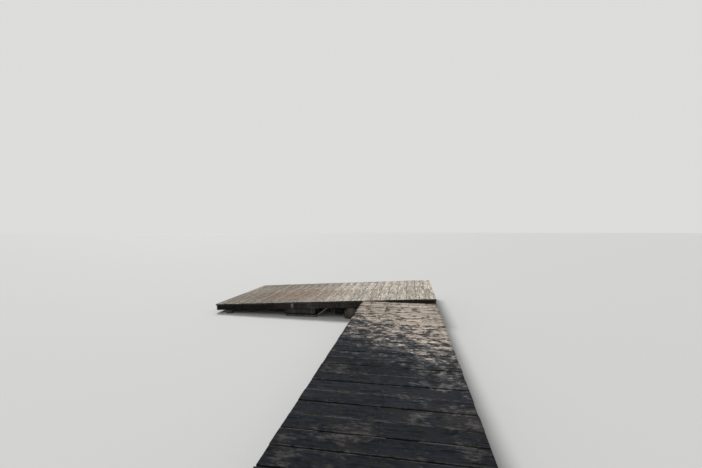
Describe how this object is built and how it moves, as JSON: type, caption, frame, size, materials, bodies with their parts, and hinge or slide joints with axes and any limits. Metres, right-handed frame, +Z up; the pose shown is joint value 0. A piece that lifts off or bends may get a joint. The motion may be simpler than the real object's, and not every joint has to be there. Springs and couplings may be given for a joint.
{
  "type": "timber jetty",
  "caption": "Plank walkway on dapped log piles leading to a wider landing head, which leans down to one side where its outer end has settled.",
  "frame": {"origin": "middle of the underside of the shore sill, at the water's level", "axes": "+X across the walkway, to the right when walking towards the lake; +Y along the walkway towards the lake; +Z up"},
  "size_m": [4.907, 10.07, 0.4886],
  "materials": {
    "walkway_boards": "weathered bare timber, dark grey-brown",
    "head_boards": "weathered bare timber, paler and sandy grey",
    "frame_timber": "damp dark timber with drip stains",
    "pile_logs": "wet round timber with algae near the water",
    "fasteners": "rusted steel nails, bolts and washers"
  },
  "bodies": {
    "root": {"walkway_boards_1": "walkway_boards", "walkway_boards_2": "walkway_boards", "walkway_boards_3": "walkway_boards", "walkway_boards_4": "walkway_boards", "head_boards_left": "head_boards", "head_boards_middle": "head_boards", "head_boards_right": "head_boards", "stringer_left_shore": "frame_timber", "stringer_left_lake": "frame_timber", "stringer_middle_shore": "frame_timber", "stringer_middle_lake": "frame_timber", "stringer_right_shore": "frame_timber", "stringer_right_lake": "frame_timber", "shore_sill": "frame_timber", "cap_pair_1": "frame_timber", "cap_pair_2": "frame_timber", "cap_pair_3": "frame_timber", "cap_pair_4": "frame_timber", "head_beam_front": "frame_timber", "head_beam_middle": "frame_timber", "head_beam_back": "frame_timber", "head_rim_left": "frame_timber", "head_rim_right": "frame_timber", "crib_upper_timber": "frame_timber", "crib_lower_board": "frame_timber", "crib_brace": "frame_timber", "square_post": "frame_timber", "pile_1_left": "pile_logs", "pile_1_right": "pile_logs", "pile_2_left": "pile_logs", "pile_2_right": "pile_logs", "pile_3_left": "pile_logs", "pile_3_right": "pile_logs", "pile_4_left": "pile_logs", "pile_4_right": "pile_logs", "head_pile_front_left": "pile_logs", "head_pile_front_right": "pile_logs", "head_pile_middle_left": "pile_logs", "head_pile_middle_centre": "pile_logs", "head_pile_middle_right": "pile_logs", "head_pile_back_left": "pile_logs", "head_pile_back_centre": "pile_logs", "head_pile_back_right": "pile_logs", "junction_pile": "pile_logs"}
  },
  "joints": []
}
